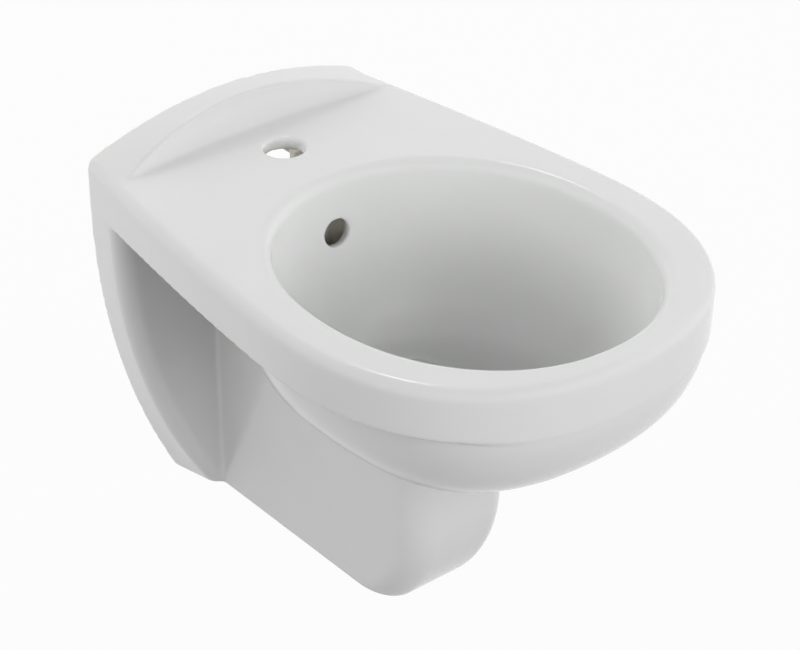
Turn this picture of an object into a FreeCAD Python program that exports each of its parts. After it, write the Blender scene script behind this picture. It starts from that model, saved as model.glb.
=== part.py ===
"""Wall-hung bidet: glazed ceramic body, wall fixings, click plug waste and bottle trap.

Frame: millimetres, +Z up, the wall is the plane Y = 0 and the bidet stands out towards -Y.
The origin is midway between the two wall fixings, on the wall. X = 0 is the plane of symmetry.
"""

import FreeCAD, Part
import math
import os

from FreeCAD import Placement, Rotation, Vector

# Ceramic body, outside
PROJECTION = 512.0          # wall to the front of the rim
WIDTH = 362.0               # rim at its widest
REAR_WIDTH = 281.0          # rim at the wall
WIDEST_SETBACK = 317.0      # wall to the widest place
RIM_ABOVE_FIXINGS = 75.0    # wall fixings up to the rim
BAND_DEPTH = 46.0           # rim down to the lower edge of its band
BAND_DRAFT = 1.5            # band drawn in from the rim to its lower edge
BAND_STEP = 22.0            # band over belly, at the sides
NOSE_STEP = 0.6             # band over belly, at the front
NOSE_POWER = 2.3            # roundness of the front of the rim
FLANK_POWER = 1.35          # curve of the rim's long sides
RIM_ROUND = 9.0             # outer edge of the rim
BELLY_DEPTH = 166.0         # rim down to the lowest point of the belly
BELLY_POWER = 2.25          # fullness of the belly
BELLY_SETBACK = 146.0       # wall to the back of the belly
BELLY_DRIFT = 22.0          # how far the belly's lowest point lies behind its widest
BELLY_END = 86.0            # turn from the band at which the belly's curve ends in a flat, degrees
WALL = 10.0                 # ceramic thickness
SKIRT = 14.0                # ceramic outside the hollows under the deck

# Upstand at the wall
UPSTAND_RISE = 26.0         # crest above the rim
UPSTAND_SPAN = 276.0        # width over which the crest dies down to the rim
CREST_DEPTH = 27.0          # wall to the crest's front edge, in the middle
CREST_FLARE = 26.0          # how much further forward that edge lies at the ends
COVE_FOOT = 54.0            # wall to the foot of the upstand's hollow front
COVE_SAG = 6.5              # hollow of that front, in the middle
COVE_SAG_ENDS = 0.2         # and at the ends
COVE_SINK = 2.8             # how far its foot runs down into the deck
UPSTAND_ROOT = 14.0         # how far the upstand is rooted in the deck

# Wall flange
FLANGE_DEPTH = 52.0         # wall to the flange's front face
FLANGE_STEP = 0.6           # band over flange
FLANGE_DRAFT = 11.0         # sides drawn in from the wall to the front face, at the foot
FLANGE_STRAIGHT = 50.0      # rim down to where the sides start to curve in
FLANGE_FOOT_WIDTH = 138.0   # width at the foot
FLANGE_ROUND = 14.0         # edge of the front face

# Trap shroud
SHROUD_WIDTH = 104.0        # outside width
SHROUD_NOSE = 72.0          # drain axis to the shroud's front
SHROUD_TOE = 41.5           # how far the foot is drawn back from the front
TOE_HEIGHT = 100.0          # foot up to where that starts
SHROUD_CORNER = 25.0        # front corners
CUP_ABOVE_FOOT = 6.4        # trap's cup above the foot of the shroud

# Bowl
RIM_SIDE = 41.0             # rim beside the bowl
RIM_FRONT = 28.0            # rim in front of the bowl
BOWL_SETBACK = 156.0        # wall to the back of the bowl
BOWL_POWER = 2.1            # roundness of the opening
BOWL_FULLNESS = 2.6         # steepness of the bowl's sides
BOWL_ROUND = 10.0           # edge of the opening
SEAT_DEPTH = 153.0          # rim down to the seat of the waste
FLOOR_THICKNESS = 18.0      # ceramic under that seat
FLOOR_RADIUS = 40.0         # flat floor round the waste
DRAIN_SETBACK = 252.0       # wall to the drain axis
DRAIN_HOLE = 46.0

# Tap hole and overflow
TAP_HOLE = 35.0
TAP_HOLE_SETBACK = 87.0
TAP_HOLE_ROUND = 2.0        # upper edge of the tap hole
DECK_THICKNESS = 12.0
OVERFLOW_HOLE = 25.0
OVERFLOW_DEPTH = 52.0       # rim down to the middle of the overflow hole
DUCT_WIDTH = 30.0
DUCT_DEPTH = 24.0
DUCT_WALL = 6.0             # ceramic between the duct and the back of the bowl
DUCT_TUNNEL = 10.0          # bore from the duct to the drain hole

# Wall fixings
FIXING_SPACING = 180.0
FIXING_BOSS = 48.0          # solid ceramic kept round a fixing
STUD = 12.0
SHANK = 10.8                # plain middle of the stud, inside the flange
STUD_IN_WALL = 40.0
STUD_END = 4.5              # stud beyond its nut
SLEEVE = 22.0
SLEEVE_REACH = 40.0         # sleeve inside the flange
SLEEVE_RIM = 34.0
SLEEVE_RIM_THICKNESS = 3.0
FIXING_WASHER = 29.0
FIXING_WASHER_THICKNESS = 2.5
FIXING_NUT = 19.0           # across flats
FIXING_NUT_HEIGHT = 10.0
CAP_LENGTH = 24.0
CAP_WALL = 1.6

# Waste
TAIL = 41.9                 # outside of the threaded tail
TAIL_WALL = 2.9
TAIL_BELOW_SEAT = 58.0
WASTE_FLANGE = 60.0
WASTE_FLANGE_THICKNESS = 3.0
WASTE_COLLAR = 45.0         # plain collar under the flange, in the drain hole
WASTE_MOUTH = 48.0          # wide end of the cone that the plug closes
WASTE_CONE = 6.0            # depth of that cone
SLOT_WIDTH = 8.0
SLOT_HEIGHT = 9.0
SLOT_COUNT = 4
TOP_SEAL_THICKNESS = 2.0
UNDER_SEAL = 60.0
UNDER_SEAL_THICKNESS = 6.0
WASTE_WASHER = 59.0
WASTE_WASHER_THICKNESS = 2.5
BACK_NUT = 52.0             # across flats
BACK_NUT_HEIGHT = 9.0
SPIDER_DROP = 36.0          # seat down to the top of the crossbar
SPIDER_HEIGHT = 8.0
SPIDER_HUB = 18.0
SPIDER_ARM = 4.0
SPIDER_ARMS = 3
CARTRIDGE_THREAD = 10.0

# Click plug
PLUG_TRAVEL = 9.0
PLUG_CAP = 47.0
PLUG_EDGE = 1.0             # rim of the cap
PLUG_DOME = 3.0             # rise of the cap
PLUG_NECK = 26.0
PLUG_SEAL_THICKNESS = 2.5
STEM = 6.0
STEM_IN_CAP = 4.0
STEM_HEAD = 13.2
STEM_HEAD_THICKNESS = 4.0
CARTRIDGE = 18.0
CARTRIDGE_WALL = 2.0
CARTRIDGE_FLOOR = 3.0
CARTRIDGE_LID = 3.0
SPRING_WIRE = 1.0
SPRING_MEAN = 10.4
SPRING_TURNS = 5
SPRING_LENGTH = 12.5        # with the plug down

# Bottle trap
UNION_NUT = 52.0
UNION_NUT_LIP = 3.5
UNION_NUT_GRIP = 20.0       # length of the nut round the tail
UNION_NUT_RIBS = 24
TRAP_SEAL_THICKNESS = 2.5
PIPE = 32.0                 # dip tube and outlet pipe, outside
PIPE_WALL = 1.4
DIP_TUBE_FLANGE = 2.0
NECK_DROP = 76.0            # seat down to the top of the bottle's neck
NECK_LENGTH = 14.0
NECK_WALL = 4.0
NECK_NUT = 48.0
NECK_SEAL_HEIGHT = 5.0
NECK_NUT_LIP = 2.5
NECK_NUT_RIBS = 20
NUT_GRIP = 9.0              # length of a compression nut round its neck
BOTTLE = 56.0
BOTTLE_WALL = 2.6
BOTTLE_LENGTH = 52.0        # shoulder to the lower edge
OUTLET_DROP = 22.0          # shoulder down to the outlet axis
OUTLET_REACH = 24.0         # outlet neck beyond the bottle
CUP_COLLAR = 63.0
CUP_COLLAR_HEIGHT = 9.0
CUP_RIBS = 28
CUP_SEAL_THICKNESS = 2.0
CUP_DEPTH = 34.0            # below the seal
CUP_ROUND = 8.0
DIP_CLEARANCE = 10.0        # dip tube above the cup's floor
OUTLET_SOCKET = 12.0        # outlet pipe inside its neck
OUTLET_IN_WALL = 40.0
BEAD = 36.0                 # ridge on the outlet pipe that stops it at the wall
BEAD_LENGTH = 4.0

# Fits
THREAD_GAP = 0.05           # radial play drawn between mated threads
SLIP_GAP = 0.25             # radial play of pieces that slip into place
SEAT_GAP = 1.0              # radial play of the waste's flange in its ceramic seat
STEM_GAP = 0.1              # radial play of the plug stem in its guide
PLUG_GAP = 0.4              # closed plug above its cone

RIM_Z = RIM_ABOVE_FIXINGS
BAND_Z = RIM_Z - BAND_DEPTH
SEAT_Z = RIM_Z - SEAT_DEPTH
FLOOR_Z = SEAT_Z + TOP_SEAL_THICKNESS + WASTE_FLANGE_THICKNESS
UNDER_Z = SEAT_Z - FLOOR_THICKNESS
KNEE_Z = RIM_Z - FLANGE_STRAIGHT
DRAIN_Y = -DRAIN_SETBACK
WIDEST_Y = -WIDEST_SETBACK
CHAMBER_HALF = FIXING_SPACING / 2 - SLEEVE / 2 - SLIP_GAP - WALL
DUCT_BACK = BOWL_SETBACK - DUCT_WALL - DUCT_DEPTH
CHAMBER_FRONT = DUCT_BACK - WALL
OVERLAP = 4.0               # how far joined volumes run into each other
CUT = 1.0                   # how far cutting volumes run past a face
EDGE = 1.0                  # small bevels

# Number of places at which free curves are worked out
FLANK_PLACES = 7
NOSE_PLACES = 9
OVAL_PLACES = 24
BELLY_SECTIONS = 10
BOWL_SECTIONS = 9
UPSTAND_SECTIONS = 9

UNION_BOTTOM = TAIL_BELOW_SEAT + TRAP_SEAL_THICKNESS + DIP_TUBE_FLANGE + UNION_NUT_LIP
SHOULDER_Z = SEAT_Z - NECK_DROP - NECK_LENGTH
OUTLET_Z = SHOULDER_Z - OUTLET_DROP
BOTTLE_FOOT_Z = SHOULDER_Z - BOTTLE_LENGTH
CUP_LEDGE_Z = BOTTLE_FOOT_Z - CUP_SEAL_THICKNESS
CUP_FLOOR_Z = CUP_LEDGE_Z - CUP_DEPTH
BODY_DEPTH = RIM_Z - CUP_FLOOR_Z + BOTTLE_WALL + CUP_ABOVE_FOOT    # rim down to the foot of the shroud
FOOT_Z = RIM_Z - BODY_DEPTH


def fullness(depth, power):
    """Share of the full width that a rounded hollow keeps at a relative depth from 0 to 1."""
    return (1.0 - depth ** power) ** (1.0 / power)


def oval_power(value, power):
    """Signed power, which turns a circle's cosine or sine into that of a squarer oval."""
    return math.copysign(abs(value) ** (2.0 / power), value)


def spline(points, closed):
    """Smooth edge through points."""
    curve = Part.BSplineCurve()
    curve.interpolate(Points=points, PeriodicFlag=closed)
    return curve.toShape()


def line(start, end):
    """Straight edge between two points."""
    return Part.LineSegment(start, end).toShape()


def arc(start, through, end):
    """Round edge through three points."""
    return Part.Arc(start, through, end).toShape()


def box(low, high):
    """Block between two corners."""
    size = high - low
    return Part.makeBox(size.x, size.y, size.z, low)


def rounded_along_y(block, radius):
    """Block with its four edges along Y rounded."""
    along = [edge for edge in block.Edges if abs(edge.tangentAt(edge.FirstParameter).y) > 0.99]
    return block.makeFillet(radius, along)


def turned(profile):
    """Solid of revolution about Z from a closed outline of (radius, height) corners."""
    corners = [Vector(radius, 0, height) for radius, height in profile]
    wire = Part.makePolygon(corners + corners[:1])
    return Part.Face(wire).revolve(Vector(0, 0, 0), Vector(0, 0, 1), 360)


def ring(inner, outer, low, high):
    """Plain ring about Z, from its two diameters and two heights."""
    return turned([(inner / 2, low), (outer / 2, low), (outer / 2, high), (inner / 2, high)])


def hexagon(across_flats, low, high):
    """Six-sided prism about Z."""
    corner = across_flats / math.sqrt(3.0)
    turns = [math.radians(60 * k) for k in range(7)]
    points = [Vector(corner * math.cos(turn), corner * math.sin(turn), low) for turn in turns]
    return Part.Face(Part.makePolygon(points)).extrude(Vector(0, 0, high - low))


def ribbed(body, diameter, low, high, count):
    """Body with shallow vertical grip grooves round its outside."""
    groove_radius = diameter * math.pi / count / 4
    grooves = []
    for k in range(count):
        turn = math.radians(360.0 * k / count)
        centre = Vector(diameter / 2 * math.cos(turn), diameter / 2 * math.sin(turn), low)
        grooves.append(Part.makeCylinder(groove_radius, high - low, centre))
    return body.cut(Part.makeCompound(grooves))


def on_drain(shape):
    """Place a piece turned about Z on the drain axis."""
    placed = shape.copy()
    placed.translate(Vector(0, DRAIN_Y, 0))
    return placed


def on_outlet(shape):
    """Place a piece turned about Z on the outlet axis, its +Z towards the wall."""
    placed = shape.copy()
    place = Placement(Vector(0, DRAIN_Y, OUTLET_Z), Rotation(Vector(1, 0, 0), -90))
    placed.Placement = place.multiply(placed.Placement)
    return placed


def at_fixings(shape):
    """Two copies of a piece turned about Z, on the wall fixings, +Z away from the wall."""
    pair = []
    for side in (-1, 1):
        placed = shape.copy()
        place = Placement(Vector(side * FIXING_SPACING / 2, 0, 0), Rotation(Vector(1, 0, 0), 90))
        placed.Placement = place.multiply(placed.Placement)
        pair.append(placed)
    return Part.makeCompound(pair)


def rim_point(turn, inset, height):
    """Point of the rim's plan: turn runs from -1 at the wall by 0 at the widest place to 1 at the front.

    The inset draws the plan in, except at the wall.
    """
    half = WIDTH / 2 - inset
    if turn < 0:
        spread = (half - REAR_WIDTH / 2) * (-turn) ** FLANK_POWER
        return Vector(half - spread, WIDEST_Y * (1 + turn), height)
    angle = turn * math.pi / 2
    reach = PROJECTION - WIDEST_SETBACK - inset
    return Vector(half * oval_power(math.cos(angle), NOSE_POWER),
                  WIDEST_Y - reach * oval_power(math.sin(angle), NOSE_POWER), height)


def mirrored(point):
    """The same point on the other side of the plane of symmetry."""
    return Vector(-point.x, point.y, point.z)


def rim_wire(inset, height):
    """Outline of the rim's plan at one height."""
    flank = [-1 + k / FLANK_PLACES for k in range(FLANK_PLACES)]
    nose = [k / NOSE_PLACES for k in range(NOSE_PLACES)]
    right = [rim_point(turn, inset, height) for turn in flank + nose]
    front = Vector(0, inset - PROJECTION, height)
    outline = right + [front] + [mirrored(point) for point in reversed(right)]
    return Part.Wire([spline(outline, False), line(outline[-1], outline[0])])


def rim_slab():
    """Rim, deck and band as one thick plate, its upper edge rounded."""
    slab = Part.makeLoft([rim_wire(BAND_DRAFT, BAND_Z), rim_wire(0, RIM_Z)], True, True)
    upper = [edge for edge in slab.Edges if edge.BoundBox.ZMin > RIM_Z - CUT and edge.BoundBox.YMin < -CUT]
    return slab.makeFillet(RIM_ROUND, upper)


def oval(centre_y, half_width, front, back, power, height):
    """Closed oval in plan, with its own reach to the front and to the back of its centre."""
    points = []
    for k in range(OVAL_PLACES):
        angle = 2 * math.pi * k / OVAL_PLACES
        side = math.cos(angle)
        ahead = math.sin(angle)
        reach = front if ahead > 0 else back
        points.append(Vector(half_width(side, ahead) * oval_power(side, power),
                             centre_y - reach * oval_power(ahead, power), height))
    return Part.Wire([spline(points, True)])


def belly():
    """Outside of the bowl below the band: flush with the band at the front, stepped back at the sides."""
    depth = BELLY_DEPTH - BAND_DEPTH
    inset = BAND_DRAFT + NOSE_STEP
    reach = PROJECTION - WIDEST_SETBACK - inset
    back = WIDEST_SETBACK - BELLY_SETBACK

    def half_width(side, ahead):
        step = BAND_STEP * (abs(side) ** 3 if ahead > 0 else 1.0)
        return WIDTH / 2 - inset - step

    sections = [oval(WIDEST_Y, half_width, reach, back, NOSE_POWER, BAND_Z + OVERLAP)]
    for k in range(BELLY_SECTIONS):
        down = math.sin(math.radians(BELLY_END * k / (BELLY_SECTIONS - 1)))
        keep = fullness(down, BELLY_POWER)
        sections.append(oval(WIDEST_Y + BELLY_DRIFT * down,
                             lambda side, ahead: keep * half_width(side, ahead),
                             keep * reach, keep * back, NOSE_POWER, BAND_Z - depth * down))
    return Part.makeLoft(sections, True, False)


def bowl_hollow():
    """The space inside the bowl, down to its flat floor."""
    opening_half = WIDTH / 2 - RIM_SIDE
    opening_front = PROJECTION - RIM_FRONT
    half_length = (opening_front - BOWL_SETBACK) / 2
    middle = (opening_front + BOWL_SETBACK) / 2
    depth = RIM_Z - FLOOR_Z

    def section(keep, height):
        across = FLOOR_RADIUS + (opening_half - FLOOR_RADIUS) * keep
        along = FLOOR_RADIUS + (half_length - FLOOR_RADIUS) * keep
        centre = DRAIN_Y - (middle - DRAIN_SETBACK) * keep
        return oval(centre, lambda side, ahead: across, along, along, BOWL_POWER, height)

    sections = [section(1.0, RIM_Z + BOWL_ROUND)]
    for k in range(BOWL_SECTIONS):
        down = math.sin(math.pi / 2 * k / (BOWL_SECTIONS - 1))
        sections.append(section(fullness(down, BOWL_FULLNESS), RIM_Z - depth * down))
    return Part.makeLoft(sections, True, False)


def shroud_front(height, inset):
    """Front of the trap shroud at a height: upright down to its knee, then back along the arc of its toe."""
    radius = (TOE_HEIGHT ** 2 + SHROUD_TOE ** 2) / (2 * SHROUD_TOE)
    below = FOOT_Z + TOE_HEIGHT - height
    return -DRAIN_SETBACK - SHROUD_NOSE + radius - math.sqrt((radius - inset) ** 2 - below ** 2)


def shroud(inset, top, bottom, back):
    """Upright cover of the trap, its toe drawn back and its front corners round. Inset gives its inside."""
    half = SHROUD_WIDTH / 2 - inset
    knee = FOOT_Z + TOE_HEIGHT
    heights = (knee, (knee + bottom) / 2, bottom)
    toe = [Vector(-half, shroud_front(height, inset), height) for height in heights]
    front_top = Vector(-half, toe[0].y, top)
    back_top = Vector(-half, back, top)
    back_foot = Vector(-half, back, bottom)
    side = Part.Wire([arc(*toe), line(toe[2], back_foot), line(back_foot, back_top),
                      line(back_top, front_top), line(front_top, toe[0])])
    block = Part.Face(side).extrude(Vector(2 * half, 0, 0))
    upright = [edge for edge in block.Edges
               if edge.BoundBox.YMax < toe[2].y + CUT and edge.BoundBox.ZLength > CUT]
    return block.makeFillet(SHROUD_CORNER - inset, upright)


def flange_ends(depth, inset):
    """Half the wall flange's width at its top, where it follows the band, and at its foot, at a distance from the wall."""
    half = rim_point(depth / WIDEST_SETBACK - 1, BAND_DRAFT, 0).x - FLANGE_STEP
    foot = FLANGE_FOOT_WIDTH / 2 - FLANGE_DRAFT * depth / FLANGE_DEPTH
    return half - inset, foot - inset


def flange_half(height, depth, inset):
    """Half the wall flange's width at a height: straight down to its knee, then along an arc to the foot."""
    half, foot = flange_ends(depth, inset)
    drop = KNEE_Z - FOOT_Z
    radius = ((half - foot) ** 2 + drop ** 2) / (2 * (half - foot))
    return half - radius + math.sqrt(radius ** 2 - (KNEE_Z - height) ** 2)


def flange_side(top, low, depth, inset):
    """Curved side of the wall flange between two heights, as three points from above."""
    heights = (top, (top + low) / 2, low)
    return [Vector(flange_half(height, depth, inset), -depth, height) for height in heights]


def symmetric_wire(right, curve):
    """Closed outline from corners on the right, going down, that end with the three points of an arc."""
    corners = right + curve[:1]
    edges = [line(start, end) for start, end in zip(corners, corners[1:])]
    edges += [line(mirrored(end), mirrored(start)) for start, end in zip(corners, corners[1:])]
    edges += [arc(*curve), arc(*[mirrored(point) for point in curve])]
    edges += [line(curve[-1], mirrored(curve[-1])), line(mirrored(right[0]), right[0])]
    return Part.Wire(Part.__sortEdges__(edges))


def flange_wire(depth):
    """Outline of the wall flange at one distance from the wall."""
    top = Vector(flange_ends(depth, 0)[0], -depth, RIM_Z - RIM_ROUND - OVERLAP)
    return symmetric_wire([top], flange_side(KNEE_Z, FOOT_Z, depth, 0))


def wall_flange():
    """Plate that stands against the wall, its sides almost flush with the band and its front edges rounded."""
    plate = Part.makeLoft([flange_wire(0), flange_wire(FLANGE_DEPTH)], True, True)
    front = [edge for edge in plate.Edges
             if edge.BoundBox.YMax < -FLANGE_DEPTH + CUT and abs(edge.BoundBox.Center.x) > CUT]
    return plate.makeFillet(FLANGE_ROUND, front)


def upstand():
    """Arched rise at the wall with a hollow front, lofted from end to end."""
    sections = []
    half = UPSTAND_SPAN / 2
    root = RIM_Z - UPSTAND_ROOT
    foot_y = -COVE_FOOT - COVE_SINK
    for k in range(UPSTAND_SECTIONS):
        x = half * (-1 + 2 * k / (UPSTAND_SECTIONS - 1))
        share = (x / half) ** 2
        crest = RIM_Z + UPSTAND_RISE * (1 - share)
        brow = Vector(x, -CREST_DEPTH - CREST_FLARE * share, crest)
        foot = Vector(x, foot_y, RIM_Z - COVE_SINK)
        sag = COVE_SAG * (1 - share) + COVE_SAG_ENDS
        hollow = (brow + foot) * 0.5 + Vector(0, sag, -sag)
        wall_top = Vector(x, 0, crest)
        wall_root = Vector(x, 0, root)
        foot_root = Vector(x, foot_y, root)
        sections.append(Part.Wire([line(wall_root, wall_top), line(wall_top, brow), arc(brow, hollow, foot),
                                   line(foot, foot_root), line(foot_root, wall_root)]))
    return Part.makeLoft(sections, True, False)


def flange_hollow_wire(depth):
    """Outline of the flange's open back: narrow between the fixings, wide below them."""
    ledge = -FIXING_BOSS / 2
    top = Vector(CHAMBER_HALF, -depth, RIM_Z - DECK_THICKNESS)
    return symmetric_wire([top, Vector(CHAMBER_HALF, -depth, ledge)],
                          flange_side(ledge, FOOT_Z + WALL, depth, WALL))


def service_hollow():
    """Space inside the body for the trap, the tap's fittings and the spanner, open to the wall and below."""
    ceiling = RIM_Z - DECK_THICKNESS
    inner = SHROUD_WIDTH / 2 - WALL
    below = shroud(WALL, UNDER_Z, FOOT_Z - CUT, CUT)
    behind = box(Vector(-inner, -CHAMBER_FRONT, UNDER_Z - OVERLAP), Vector(inner, CUT, ceiling))
    deck = box(Vector(-CHAMBER_HALF, -CHAMBER_FRONT, BAND_Z + WALL), Vector(CHAMBER_HALF, CUT, ceiling))
    mouth = flange_hollow_wire(-CUT)
    end = flange_hollow_wire(FLANGE_DEPTH - WALL)
    flange = Part.makeLoft([mouth, end], True, True)
    return [below, rounded_along_y(behind, WALL / 2), rounded_along_y(deck, WALL / 2), flange]


def deck_hollows():
    """Hollows under the deck on both sides of the tap's chamber, open below."""
    low = Vector(CHAMBER_HALF + WALL, -BOWL_SETBACK, BAND_Z - CUT)
    high = Vector(REAR_WIDTH / 2 - SKIRT, -FLANGE_DEPTH - WALL, RIM_Z - DECK_THICKNESS)
    right = box(low, high)
    upright = [edge for edge in right.Edges if edge.BoundBox.ZLength > CUT]
    right = right.makeFillet(WALL, upright)
    return [right, right.mirror(Vector(0, 0, 0), Vector(1, 0, 0))]


def overflow_way():
    """Overflow hole, the duct behind the bowl and the tunnel from its foot to the drain hole."""
    mouth = Part.makeCylinder(OVERFLOW_HOLE / 2, DUCT_DEPTH + 2 * BOWL_ROUND,
                              Vector(0, -DUCT_BACK - CUT, RIM_Z - OVERFLOW_DEPTH), Vector(0, -1, 0))
    tunnel_z = (SEAT_Z + UNDER_Z) / 2
    duct = box(Vector(-DUCT_WIDTH / 2, -DUCT_BACK - DUCT_DEPTH, tunnel_z - DUCT_TUNNEL / 2),
               Vector(DUCT_WIDTH / 2, -DUCT_BACK, RIM_Z - OVERFLOW_DEPTH + OVERFLOW_HOLE / 2 + CUT))
    tunnel = Part.makeCylinder(DUCT_TUNNEL / 2, DRAIN_SETBACK - DUCT_BACK - DUCT_DEPTH / 2,
                               Vector(0, -DUCT_BACK - DUCT_DEPTH / 2, tunnel_z), Vector(0, -1, 0))
    return [mouth, rounded_along_y(duct, DUCT_TUNNEL / 2 - CUT), tunnel]


def ceramic_holes():
    """Holes for the tap, the waste and the two wall fixings."""
    radius = TAP_HOLE / 2
    tap = Part.makeCylinder(radius, DECK_THICKNESS + 2 * CUT, Vector(0, 0, RIM_Z - DECK_THICKNESS - CUT))
    flare = turned([(radius - CUT, RIM_Z - TAP_HOLE_ROUND), (radius + TAP_HOLE_ROUND, RIM_Z - TAP_HOLE_ROUND),
                    (radius + TAP_HOLE_ROUND, RIM_Z), (radius - CUT, RIM_Z)])
    bead = Part.makeTorus(radius + TAP_HOLE_ROUND, TAP_HOLE_ROUND, Vector(0, 0, RIM_Z - TAP_HOLE_ROUND))
    tap = tap.fuse(flare.cut(bead))
    tap.translate(Vector(0, -TAP_HOLE_SETBACK, 0))
    drain = Part.makeCylinder(DRAIN_HOLE / 2, FLOOR_THICKNESS + 2 * CUT, Vector(0, 0, UNDER_Z - CUT))
    seat = Part.makeCylinder(WASTE_FLANGE / 2 + SEAT_GAP, FLOOR_Z - SEAT_Z + CUT, Vector(0, 0, SEAT_Z))
    fixing = Part.makeCylinder(SLEEVE / 2 + SLIP_GAP, FLANGE_DEPTH + 2 * CUT, Vector(0, 0, -CUT))
    return [tap, on_drain(drain), on_drain(seat)] + at_fixings(fixing).Solids


def ceramic_body():
    """The one casting that everything else hangs in or on."""
    bowl = bowl_hollow()
    slab = rim_slab().cut(bowl)
    mouth = [edge for edge in slab.Edges
             if edge.BoundBox.ZMin > RIM_Z - CUT and edge.BoundBox.YMax < -BOWL_SETBACK + CUT]
    slab = slab.makeFillet(BOWL_ROUND, mouth)
    cover = shroud(0, BAND_Z + OVERLAP, FOOT_Z, 0)
    under = belly().fuse([cover, wall_flange()]).cut(bowl)
    body = slab.fuse([upstand(), under])
    return body.cut(service_hollow() + deck_hollows() + overflow_way() + ceramic_holes())


def wall_studs():
    """Studs from the wall through the flange, their two threads drawn at the outside diameter."""
    start = -STUD_IN_WALL
    seat = FLANGE_DEPTH + SLEEVE_RIM_THICKNESS
    end = seat + FIXING_WASHER_THICKNESS + FIXING_NUT_HEIGHT + STUD_END
    radius = STUD / 2
    shank = SHANK / 2
    return at_fixings(turned([(0, start), (radius - EDGE, start), (radius, start + EDGE), (radius, 0),
                              (shank, 0), (shank, seat), (radius, seat), (radius, end - EDGE),
                              (radius - EDGE, end), (0, end)]))


def fixing_sleeves():
    """Plastic sleeves that centre the studs in the flange's holes."""
    bore = STUD / 2 + SLIP_GAP
    face = FLANGE_DEPTH
    end = face - SLEEVE_REACH
    front = face + SLEEVE_RIM_THICKNESS
    return at_fixings(turned([(bore, end), (SLEEVE / 2, end), (SLEEVE / 2, face), (SLEEVE_RIM / 2, face),
                              (SLEEVE_RIM / 2, front), (bore, front)]))


def fixing_washers():
    """Steel washers on the sleeves."""
    low = FLANGE_DEPTH + SLEEVE_RIM_THICKNESS
    return at_fixings(ring(STUD + 2 * SLIP_GAP, FIXING_WASHER, low, low + FIXING_WASHER_THICKNESS))


def fixing_nuts():
    """Hexagon nuts that pull the body to the wall."""
    low = FLANGE_DEPTH + SLEEVE_RIM_THICKNESS + FIXING_WASHER_THICKNESS
    high = low + FIXING_NUT_HEIGHT
    bore = Part.makeCylinder(STUD / 2 + THREAD_GAP, FIXING_NUT_HEIGHT + 2 * CUT, Vector(0, 0, low - CUT))
    corner = FIXING_NUT / math.sqrt(3.0)
    chamfer = corner - FIXING_NUT / 2
    cone = turned([(0, low), (FIXING_NUT / 2, low), (corner, low + chamfer), (corner, high - chamfer),
                   (FIXING_NUT / 2, high), (0, high)])
    return at_fixings(hexagon(FIXING_NUT, low, high).common(cone).cut(bore))


def fixing_caps():
    """Caps over the nuts, seated on the rims of the sleeves, their ends bevelled twice."""
    low = FLANGE_DEPTH + SLEEVE_RIM_THICKNESS
    high = low + CAP_LENGTH
    outer = SLEEVE_RIM / 2
    inner = outer - CAP_WALL
    bevel = CAP_LENGTH / 6
    return at_fixings(turned([(inner, low), (outer, low), (outer, high - bevel),
                              (outer - bevel / 2, high - bevel / 4), (outer - 2 * bevel, high), (0, high),
                              (0, high - CAP_WALL), (inner - 2 * bevel, high - CAP_WALL),
                              (inner, high - bevel - CAP_WALL)]))


def waste_body():
    """Flanged waste with a plug cone, overflow slots, a crossbar and a threaded tail."""
    outer = TAIL / 2
    inner = outer - TAIL_WALL
    top = FLOOR_Z
    lip = top - WASTE_FLANGE_THICKNESS
    foot = SEAT_Z - TAIL_BELOW_SEAT
    collar = WASTE_COLLAR / 2
    collar_low = top - WASTE_CONE - EDGE
    shell = turned([(WASTE_MOUTH / 2, top), (WASTE_FLANGE / 2 - EDGE, top), (WASTE_FLANGE / 2, top - EDGE),
                    (WASTE_FLANGE / 2, lip), (collar, lip), (collar, collar_low), (outer, collar_low),
                    (outer, foot + EDGE), (outer - EDGE, foot), (inner, foot), (inner, top - WASTE_CONE)])
    slot_high = (SEAT_Z + UNDER_Z) / 2 + SLOT_HEIGHT / 2
    slot_half = SLOT_WIDTH / 2
    for k in range(SLOT_COUNT):
        slot = box(Vector(0, -slot_half, slot_high - SLOT_HEIGHT), Vector(TAIL, slot_half, slot_high))
        slot.rotate(Vector(0, 0, 0), Vector(0, 0, 1), 90 + 360.0 * k / SLOT_COUNT)
        shell = shell.cut(slot)
    high = SEAT_Z - SPIDER_DROP
    low = high - SPIDER_HEIGHT
    arms = [Part.makeCylinder(SPIDER_HUB / 2, SPIDER_HEIGHT, Vector(0, 0, low))]
    for k in range(SPIDER_ARMS):
        arm = box(Vector(0, -SPIDER_ARM / 2, low), Vector(outer - TAIL_WALL / 2, SPIDER_ARM / 2, high))
        arm.rotate(Vector(0, 0, 0), Vector(0, 0, 1), 30 + 360.0 * k / SPIDER_ARMS)
        arms.append(arm)
    radius = CARTRIDGE_THREAD / 2 + THREAD_GAP
    bore = Part.makeCylinder(radius, SPIDER_HEIGHT + 2 * CUT, Vector(0, 0, low - CUT))
    return on_drain(shell.fuse(arms).cut(bore).removeSplitter())


def waste_top_seal():
    """Flat rubber ring between the waste's flange and its ceramic seat."""
    bore = WASTE_COLLAR + 2 * SLIP_GAP
    return on_drain(ring(bore, WASTE_FLANGE - 2 * EDGE, SEAT_Z, SEAT_Z + TOP_SEAL_THICKNESS))


def waste_under_seal():
    """Thick rubber washer against the underside of the ceramic, its upper edge bevelled."""
    high = UNDER_Z
    low = high - UNDER_SEAL_THICKNESS
    bevel = UNDER_SEAL_THICKNESS / 3
    bore = TAIL / 2 + SLIP_GAP
    return on_drain(turned([(bore, low), (UNDER_SEAL / 2, low), (UNDER_SEAL / 2, high - bevel),
                            (UNDER_SEAL / 2 - bevel, high), (bore, high)]))


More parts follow.
